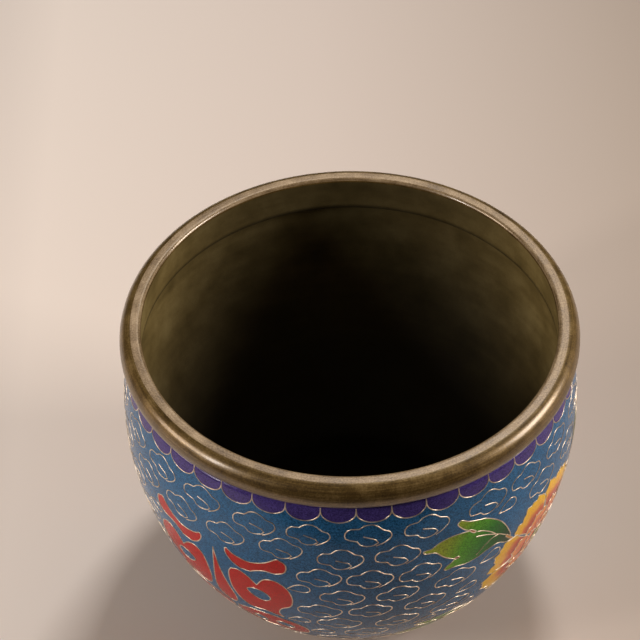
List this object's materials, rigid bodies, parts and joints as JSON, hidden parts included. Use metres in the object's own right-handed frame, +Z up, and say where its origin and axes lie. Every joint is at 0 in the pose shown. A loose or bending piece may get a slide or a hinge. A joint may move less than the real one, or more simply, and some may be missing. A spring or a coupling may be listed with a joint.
{
  "type": "cloisonne planter bowl",
  "caption": "Round cloisonne planter bowl with a rolled brass rim, an enamelled outside and a ring foot, open at the top to hold a plant or a pot.",
  "frame": {"origin": "centre of the foot ring's underside", "axes": "+Z up along the bowl's axis; +Y away from the side that the picture shows"},
  "size_m": [0.1816, 0.1816, 0.138],
  "materials": {
    "bowl_copper": "dull brown tarnish, brushed",
    "rim_brass": "satin, dark patina",
    "blue_enamel": "fired and polished, speckled",
    "foot_brass": "satin, dark patina",
    "wire_copper": "polished wire, flush with the enamel"
  },
  "bodies": {
    "root": {"copper_bowl": "bowl_copper", "rim_ring": "rim_brass", "enamel_coat": "blue_enamel", "foot_ring": "foot_brass"}
  },
  "joints": []
}
